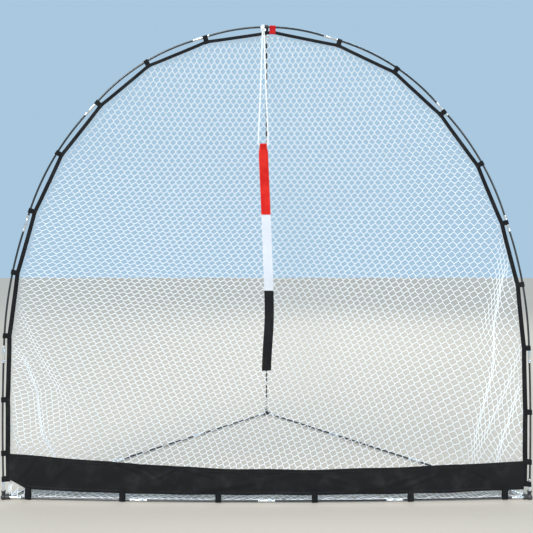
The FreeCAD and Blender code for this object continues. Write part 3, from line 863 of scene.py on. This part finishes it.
# ---------------------------------------------------------------------------------------------------
# Skirt. A strip of black woven polyester that stops low balls. Its top and bottom edges are folded
# over and sewn, and it is held upright between the lowest tabs and the straps on the rail.
SKIRT_HALF = 1.041
SKIRT_CLOTH = 0.0009
HEM_WIDTH, HEM_THICK = 0.013, 0.0026
SKIRT_TOPS = (0.187, 0.160, 0.137, 0.133, 0.142, 0.156)       # from left to right
SKIRT_FEET = (0.046, 0.034, 0.032, 0.032, 0.033, 0.041)
CORNER_LIFT = 0.030                     # the lower left corner is drawn up to its tab
SKIRT_ACROSS, SKIRT_UP = 360, 22

even = np.linspace(-SKIRT_HALF, SKIRT_HALF, len(SKIRT_TOPS))
skirt_x = np.linspace(-SKIRT_HALF, SKIRT_HALF, SKIRT_ACROSS)
SMOOTHED_OVER = 49                      # places along the skirt that share a mean height
smooth_top, smooth_foot = (
    np.convolve(np.pad(np.interp(skirt_x, even, heights), SMOOTHED_OVER // 2, "edge"),
                np.ones(SMOOTHED_OVER) / SMOOTHED_OVER, "valid") for heights in (SKIRT_TOPS, SKIRT_FEET))
smooth_foot = smooth_foot + CORNER_LIFT * np.clip((-0.970 - skirt_x) / 0.060, 0, 1.2)
smooth_top = smooth_top + 0.0012 * ripple(skirt_x, skirt_x * 0, 0.22, 11)
smooth_foot = smooth_foot + 0.0014 * ripple(skirt_x, skirt_x * 0, 0.16, 12)

# creases: place along the skirt, share of its height, slope, length, width and depth
CREASES = [(-0.56, 0.86, -0.35, 0.10, 0.007, 0.0034), (-0.47, 0.80, -0.5, 0.09, 0.006, 0.0040),
           (-0.40, 0.72, 0.45, 0.08, 0.006, 0.0036), (-0.30, 0.84, -0.25, 0.12, 0.007, 0.0030),
           (-0.83, 0.55, 0.8, 0.09, 0.010, 0.0022), (0.05, 0.70, 0.2, 0.14, 0.009, 0.0020),
           (0.28, 0.60, -0.3, 0.12, 0.008, 0.0024), (0.52, 0.45, 0.25, 0.16, 0.009, 0.0030),
           (0.61, 0.40, 0.35, 0.10, 0.007, 0.0026), (0.85, 0.66, -0.5, 0.10, 0.009, 0.0022),
           (-0.12, 0.35, 0.15, 0.18, 0.010, 0.0020), (-0.95, 0.75, 1.2, 0.07, 0.008, 0.0024)]


def skirt_bulge(x, share_up):
    """How far the cloth stands forwards of its straight line: waves, and sharper creases."""
    free = np.sin(pi * np.clip(share_up, 0, 1)) ** 0.6
    wave = 0.0035 * ripple(x, share_up * 0.3, 0.34, 13) + 0.0012 * ripple(x, share_up * 0.12, 0.09, 14)
    wave = wave * free
    for place_x, place_up, slope, long, wide, deep_in in CREASES:
        dx, dz = x - place_x, (share_up - place_up) * 0.11
        turn = np.arctan(slope)
        along, off = dx * np.cos(turn) + dz * np.sin(turn), -dx * np.sin(turn) + dz * np.cos(turn)
        ridge = np.exp(-(off / wide) ** 2) - 0.6 * np.exp(-((off + wide) / wide) ** 2)
        wave = wave + deep_in * np.exp(-(along / long) ** 2) * ridge
    return wave


up = np.linspace(0, 1, SKIRT_UP)
sheet_x = np.broadcast_to(skirt_x[:, None], (SKIRT_ACROSS, SKIRT_UP))
sheet_up = np.broadcast_to(up[None], (SKIRT_ACROSS, SKIRT_UP))
sheet_z = smooth_foot[:, None] + (smooth_top - smooth_foot)[:, None] * sheet_up
sheet_y = rail_y(sheet_x) - skirt_bulge(sheet_x, sheet_up)
sheet = np.stack([sheet_x, sheet_y, sheet_z], -1)
back = sheet + (0, SKIRT_CLOTH, 0)
verts = np.concatenate([sheet.reshape(-1, 3), back.reshape(-1, 3)])
index = np.arange(SKIRT_ACROSS * SKIRT_UP).reshape(SKIRT_ACROSS, SKIRT_UP)
front_quads = np.stack([index[:-1, :-1], index[1:, :-1], index[1:, 1:], index[:-1, 1:]], -1).reshape(-1, 4)
behind = index + index.size
back_quads = np.stack([behind[:-1, :-1], behind[:-1, 1:], behind[1:, 1:], behind[1:, :-1]], -1).reshape(-1, 4)
rim = np.concatenate([index[:, 0], index[-1, 1:], index[-2::-1, -1], index[0, -2:0:-1]])
rim_next = np.roll(rim, -1)
rim_quads = np.stack([rim, rim + index.size, rim_next + index.size, rim_next], -1)
sheet_uv = np.stack([sheet_x, sheet_z], -1).reshape(-1, 2)
# the first colour is painted shade in the gaps between the threads
skirt_cloth = cloth("skirt_cloth", (0.003, 0.003, 0.0035), (0.012, 0.012, 0.013), (0.024, 0.023, 0.023),
                    0.60, (0.0011, 0.0011), 0.0002, 0.05)
skirt_quads = np.concatenate([front_quads, back_quads, rim_quads])
skirt = put("skirt_sheet", verts, skirt_quads, skirt_cloth, "skirt_black",
            uvs=np.concatenate([sheet_uv, sheet_uv]), sharp_above=60)
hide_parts("skirt")

hems, hem_rows = [], []
for share_up, edge in ((1, smooth_top - HEM_WIDTH / 2), (0, smooth_foot + HEM_WIDTH / 2)):
    edge_y = rail_y(skirt_x) - skirt_bulge(skirt_x, np.full_like(skirt_x, share_up)) + SKIRT_CLOTH / 2
    line = np.stack([skirt_x, edge_y, edge], -1)
    hems.append(band(line[::2], [Z_AXIS] * len(line[::2]), [-Y_AXIS] * len(line[::2]), HEM_WIDTH, HEM_THICK))
    for a, b in zip(line[:-8:8], line[8::8]):
        lift = np.array((0, -HEM_THICK / 2, (0.5 - share_up) * 2 * (HEM_WIDTH / 2 - 0.002)))
        hem_rows.append((Vector(a + lift), Vector(b + lift), -Y_AXIS))
hem_tapes = put_bands("skirt_hems", hems, skirt_cloth, "skirt_black")
sew("skirt_stitching", hem_rows, "black", "skirt_black", length=0.0032, gap=0.0016, radius=0.0003)


# ---------------------------------------------------------------------------------------------------
# Rail straps. Six loops of black webbing, 24 mm wide, passed under the rail and sewn to both sides of
# the skirt's lower edge with two rows of stitches.
STRAP_WIDTH, STRAP_PITCH, STRAPS = 0.024, 0.385, 6
STRAP_TOP = 0.040
dice = np.random.default_rng(5)
loops, rows = [], []
for number in range(STRAPS):
    x = STRAP_PITCH * (number - (STRAPS - 1) / 2)
    along = Vector((1, 8 * rail_bow * x / SPAN ** 2, 0)).normalized()
    at = Vector((x, rail_y(x), AXIS_HEIGHT))
    skew = float(dice.uniform(-0.04, 0.04))
    loops.append(loop_band(at, Z_AXIS, along, STRAP_TOP, STRAP_WIDTH, HEM_THICK + 0.001, skew))
    for side in (-1, 1):
        for reach in (STRAP_TOP - 0.003, STRAP_TOP - 0.012):
            middle = at + Z_AXIS * reach + Y_AXIS * (side * (HEM_THICK / 2 + TAB_THICK + 0.0012))
            half = along * (STRAP_WIDTH / 2 - 0.003)
            rows.append((middle - half, middle + half, Y_AXIS * side))
straps = put_bands("rail_strap_loops", loops, black_tape, "webbing_black")
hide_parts("rail_straps")
sew("strap_stitching", rows, "black", "webbing_black")


# ---------------------------------------------------------------------------------------------------
# Rope. White three-strand polyester, 6 mm. It is hitched twice round the crown rod, tied in a knot
# below it, and runs down in a long loop through the hem at the ribbon's top.
ROPE_DIAMETER = 0.006
ROPE_LAY = 0.019                        # one turn of a strand
STRAND_SIDES = 9
joint_at = {joint["name"]: Vector(joint["pos_m"]) for joint in frame["joints"]}
knot, hem_line = joint_at["target_swing"], joint_at["hem_fold"]


def smooth_line(points, spacing):
    """Even points along the NURBS spline that has these points as its control points."""
    curve = bpy.data.curves.new("route", "CURVE")
    curve.dimensions = "3D"
    spline = curve.splines.new("NURBS")
    spline.points.add(len(points) - 1)
    for point, at in zip(spline.points, points):
        point.co = (*at, 1)
    spline.order_u = 3
    spline.use_endpoint_u = True
    spline.resolution_u = 40
    holder = bpy.data.objects.new("route", curve)
    mesh = bpy.data.meshes.new_from_object(holder)
    line = np.array([v.co for v in mesh.vertices])
    bpy.data.objects.remove(holder)
    bpy.data.meshes.remove(mesh)
    bpy.data.curves.remove(curve)
    run = distances(line)
    steps = np.linspace(0, run[-1], max(8, int(run[-1] / spacing)))
    return np.stack([np.interp(steps, run, line[:, k]) for k in range(3)], -1), steps


def laid_rope(line, run, diameter, lay=ROPE_LAY):
    """Three strands twisted round a line, as points and faces, each strand closed at its ends."""
    strand = diameter / 2 / (1 + 2 / sqrt(3))
    offset = diameter / 2 - strand
    tangent = unit(np.gradient(line, axis=0))
    side = np.zeros_like(line)
    side[0] = unit(np.cross(tangent[0], (0.31, 0.87, 0.2)))
    for number in range(1, len(line)):
        side[number] = unit(side[number - 1] - tangent[number] * np.dot(side[number - 1], tangent[number]))
    up_way = np.cross(tangent, side)
    verts, faces = [], []
    ring_angles = np.arange(STRAND_SIDES) * 2 * pi / STRAND_SIDES
    for third in range(3):
        turn = run * 2 * pi / lay + third * 2 * pi / 3
        out = side * np.cos(turn)[:, None] + up_way * np.sin(turn)[:, None]
        centre = line + out * offset
        heading_on = unit(np.gradient(centre, axis=0))
        out = unit(out - heading_on * (out * heading_on).sum(1, keepdims=True))
        round_way = np.cross(heading_on, out)
        spokes = circles(out, round_way, ring_angles)
        start = sum(len(v) for v in verts)
        verts.append((centre[:, None] + spokes * strand).reshape(-1, 3))
        faces += rings_to_faces(len(line), STRAND_SIDES, start).tolist()
        last = start + (len(line) - 1) * STRAND_SIDES
        faces += [list(range(start, start + STRAND_SIDES))[::-1], list(range(last, last + STRAND_SIDES))]
    return np.concatenate(verts), faces


rope_yarn = worn_material("rope_yarn", (0.88, 0.89, 0.90), (0.66, 0.65, 0.62), (0.5, 0.75),
                          (45.0, 0.55, 1800.0), 0.0006, 0.9, Sheen_Weight=0.25)

# the loop, from the knot down its left side, through the hem and up its right side
LOOP_ROUTE = [(-0.00315, -0.0075), (-0.0060, -0.095), (-0.0125, -0.280), (-0.0195, -0.428), (-0.0195, -0.457),
              (-0.0160, -0.464), (0.0160, -0.464), (0.0195, -0.457), (0.0195, -0.428), (0.0125, -0.280),
              (0.0060, -0.095), (0.00315, -0.0075)]
loop_line, loop_run = smooth_line([knot + Vector((x, 0, z)) for x, z in LOOP_ROUTE], 0.0011)
loop_mesh = laid_rope(loop_line, loop_run, ROPE_DIAMETER)
target_loop = put("target_loop", *loop_mesh, rope_yarn, "rope_white", "target_loop")
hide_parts("target_rope")

KNOT_WIDE, KNOT_THICK = 0.0062, 0.0030
around = np.linspace(0, 2 * pi, 260)
knot_reach = KNOT_WIDE + KNOT_THICK * np.cos(3 * around)
knot_line = np.stack([knot_reach * np.cos(2 * around), KNOT_THICK * 1.15 * np.sin(3 * around),
                      knot_reach * np.sin(2 * around)], -1) + np.array(knot)
knot_mesh = laid_rope(knot_line, distances(knot_line), ROPE_DIAMETER * 0.9)
knot_piece = put("target_knot", *knot_mesh, rope_yarn, "rope_white", "target_knot")
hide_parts("rope_knot")

HITCH_RADIUS = ROD_RADIUS + ROPE_DIAMETER / 2 + 0.0004
HITCH_PITCH = 0.0064
HITCH_TURNS = 2
hitch_route = [(0.0015, 0, 0.004), (0.0020, -0.001, 0.010)]
for number in range(HITCH_TURNS * 8 + 1):
    turn = number * pi / 4
    hitch_route.append((0.0032 - HITCH_PITCH * number / 8, (FRONT - knot.y) - HITCH_RADIUS * 1.06 * cos(turn),
                        (crown.z - knot.z) + HITCH_RADIUS * 1.06 * sin(turn)))
hitch_route += [(-0.0070, 0.002, 0.010), (-0.0030, 0.001, 0.003)]
hitch_line, hitch_run = smooth_line([knot + Vector(p) for p in hitch_route], 0.0010)
hitch = put("crown_hitch", *laid_rope(hitch_line, hitch_run, ROPE_DIAMETER * 0.94), rope_yarn, "rope_white")
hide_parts("rope_hitch")


# ---------------------------------------------------------------------------------------------------
# Ribbon. Red, white and black nylon tape, 38 mm wide, in three lengths lapped and sewn end to end. The
# top is hemmed round the rope, the foot is doubled over, and fold marks and a slow twist stay in it.
RIBBON_WIDTH, RIBBON_THICK = 0.038, 0.0010
RIBBON_LAP = 0.014
# the ribbon drifts to the right and back as it hangs: share of its length, and how far
RIBBON_DRIFT = ((0, 0.30, 0.64, 0.78, 0.88, 1), (0, 0.0115, 0.0235, 0.0255, 0.0185, 0.0135))
upper_seam, lower_seam = joint_at["upper_seam_fold"], joint_at["lower_seam_fold"]
ribbon_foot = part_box("ribbon_black")[0].z
ribbon_top = hem_line.z - 0.003
ribbon_long = ribbon_top - ribbon_foot


def ribbon_lie(z):
    """Centre of the hanging ribbon at a height, and the ways across and out of its face."""
    share = (ribbon_top - z) / ribbon_long
    drift = sum(np.interp(share + step, *RIBBON_DRIFT) for step in np.linspace(-0.06, 0.06, 7)) / 7
    x = hem_line.x + float(drift) - 0.0008
    y = hem_line.y + 0.0030 * sin(11 * share) * min(1, share * 6)
    y -= 0.0022 * sin(23 * share + 1.0) * min(1, share * 8)
    twist = (0.16 * sin(5.2 * share + 2.0) + 0.10 * sin(14 * share) * share) * min(1, share * 7)
    return Vector((x, y, z)), Vector((cos(twist), sin(twist), 0)), Vector((sin(twist), -cos(twist), 0))


def ribbon_length(high_z, low_z, behind, narrow=0.0):
    """One length of tape, pushed back by behind, and drawn in towards its top by narrow."""
    centres, sides, normals, widths = [], [], [], []
    for z in np.linspace(high_z, low_z, max(6, int((high_z - low_z) / 0.004))):
        centre, side, normal = ribbon_lie(z)
        centres.append(centre - normal * behind)
        sides.append(side)
        normals.append(normal)
        widths.append(1 - narrow * max(0, 1 - (high_z - z) / 0.03) ** 1.5)
    return band(centres, sides, normals, RIBBON_WIDTH * np.array(widths), RIBBON_THICK, ring=26)


ribbon_cloths = {}
# the first colour of each ribbon is painted shade in the gaps between its threads
for shade, gap_shade, on_threads, dusty, roughness, sheen in (
        ("red", (0.40, 0.004, 0.002), (0.70, 0.010, 0.004), (0.70, 0.030, 0.016), 0.58, 0.03),
        ("white", (0.50, 0.52, 0.56), (0.72, 0.74, 0.79), (0.68, 0.69, 0.71), 0.55, 0.1),
        ("black", (0.002, 0.002, 0.003), (0.010, 0.010, 0.011), (0.02, 0.02, 0.02), 0.5, 0.05)):
    ribbon_cloths[shade] = cloth(f"ribbon_{shade}_cloth", gap_shade, on_threads, dusty, roughness,
                                 (0.0009, 0.0013), 0.0003, sheen)


def hinge_at_seam(length):
    """Bake the placement of a length of tape, sewn into a seam, into its mesh."""
    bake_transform(length)


hem_fold = loop_band(hem_line, -Z_AXIS, X_AXIS, 0.016, 0.029, 0.0008)
red_bands = [ribbon_length(ribbon_top - 0.004, upper_seam.z, 0, narrow=0.22), hem_fold]
red = put_bands("ribbon_red_length", red_bands, ribbon_cloths["red"], "ribbon_red", "ribbon_top")
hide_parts("ribbon_red")

white_back = RIBBON_THICK * 1.1
white = put_bands("ribbon_white_length", [ribbon_length(upper_seam.z + RIBBON_LAP, lower_seam.z, white_back)],
                  ribbon_cloths["white"], "ribbon_white", None)
hinge_at_seam(white)
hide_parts("ribbon_white")

END_HEM = 0.012
black_back = RIBBON_THICK * 2.2
end_fold = ribbon_length(ribbon_foot + END_HEM, ribbon_foot + 0.0005, RIBBON_THICK * 3.1)
black_bands = [ribbon_length(lower_seam.z + RIBBON_LAP, ribbon_foot, black_back), end_fold]
black = put_bands("ribbon_black_length", black_bands, ribbon_cloths["black"], "ribbon_black", None)
hinge_at_seam(black)
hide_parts("ribbon_black")


def seam_stitches(heights, proud):
    """A row across the ribbon at each height, standing out from its middle by proud."""
    rows = []
    for z in heights:
        centre, side, normal = ribbon_lie(z)
        half = side * (RIBBON_WIDTH / 2 - 0.002)
        rows.append((centre - half + normal * proud, centre + half + normal * proud, normal))
    return rows


lap_rows = np.array((0.003, RIBBON_LAP - 0.003))     # two rows of stitches in each lap, above the seam
on_face = RIBBON_THICK / 2
sew("upper_seam_stitching", seam_stitches(upper_seam.z + lap_rows, on_face),
    "red", "ribbon_red", "ribbon_top")
sew("lower_seam_stitching", seam_stitches(lower_seam.z + lap_rows, on_face - white_back),
    "white", "ribbon_white", "ribbon_middle")
sew("end_hem_stitching", seam_stitches((ribbon_foot + END_HEM - 0.002,), on_face - black_back),
    "black", "ribbon_black", "ribbon_bottom")
sew("top_hem_stitching", seam_stitches((ribbon_top - 0.010, ribbon_top - 0.013), on_face),
    "red", "ribbon_red", "ribbon_top")
